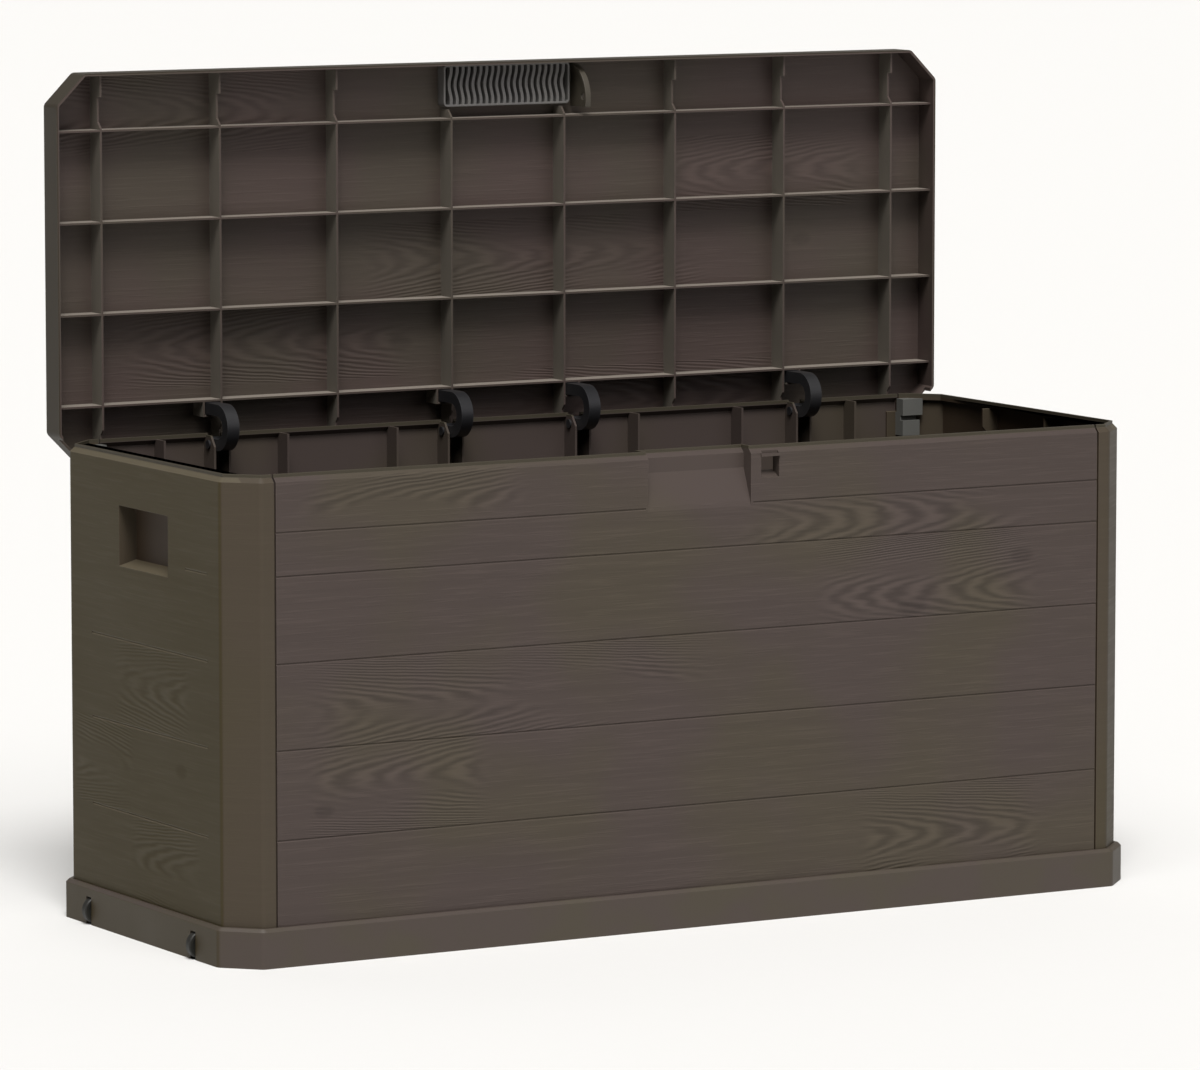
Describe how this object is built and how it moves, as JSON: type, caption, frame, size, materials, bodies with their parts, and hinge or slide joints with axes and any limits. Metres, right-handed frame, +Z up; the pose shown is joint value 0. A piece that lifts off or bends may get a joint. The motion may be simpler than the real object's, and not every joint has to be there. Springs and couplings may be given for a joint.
{
  "type": "deck storage box",
  "caption": "Long moulded plastic garden chest with wood-grain plank walls, a ribbed lid on gooseneck hinges, end handles, a padlock hole and small tow wheels.",
  "frame": {"origin": "centre of the base's underside, on the surface that the box stands on", "axes": "+X along the length towards the right end, -Y the front with the padlock hole, +Z up"},
  "size_m": [1.1765, 0.4683, 0.942],
  "materials": {
    "wall_plastic": "moulded polypropylene, embossed wood grain, matt",
    "lid_plastic": "moulded polypropylene, light wood grain, matt",
    "grip_plastic": "dark moulded slats, satin",
    "clip_plastic": "grey moulded plastic, satin",
    "hinge_plastic": "black nylon, satin",
    "wheel_plastic": "black hard plastic, satin",
    "pin_steel": "drawn steel rod"
  },
  "bodies": {
    "box": {"base_tray": "wall_plastic", "front_panel": "wall_plastic", "rear_panel": "wall_plastic", "left_end_panel": "wall_plastic", "right_end_panel": "wall_plastic", "front_left_corner_clip": "clip_plastic", "front_right_corner_clip": "clip_plastic", "rear_left_corner_clip": "clip_plastic", "rear_right_corner_clip": "clip_plastic", "hinge_1_pin": "pin_steel", "hinge_2_pin": "pin_steel", "hinge_3_pin": "pin_steel", "hinge_4_pin": "pin_steel", "front_axle": "pin_steel", "rear_axle": "pin_steel"},
    "lid": {"lid_panel": "lid_plastic", "lid_grip": "grip_plastic", "lock_tongue": "lid_plastic", "hinge_1_arm": "hinge_plastic", "hinge_2_arm": "hinge_plastic", "hinge_3_arm": "hinge_plastic", "hinge_4_arm": "hinge_plastic"},
    "front_wheel": {"front_wheel": "wheel_plastic"},
    "rear_wheel": {"rear_wheel": "wheel_plastic"}
  },
  "joints": [
    {"name": "lid_hinge", "type": "hinge", "parent": "box", "child": "lid", "pos_m": [0, 0.202, 0.521], "axis": [1, 0, 0], "range_deg": [0, 90]},
    {"name": "front_wheel_spin", "type": "hinge", "parent": "box", "child": "front_wheel", "pos_m": [-0.576, -0.1287, 0.0158], "axis": [0, 1, 0], "continuous": true},
    {"name": "rear_wheel_spin", "type": "hinge", "parent": "box", "child": "rear_wheel", "pos_m": [-0.576, 0.1287, 0.0158], "axis": [0, 1, 0], "continuous": true}
  ]
}
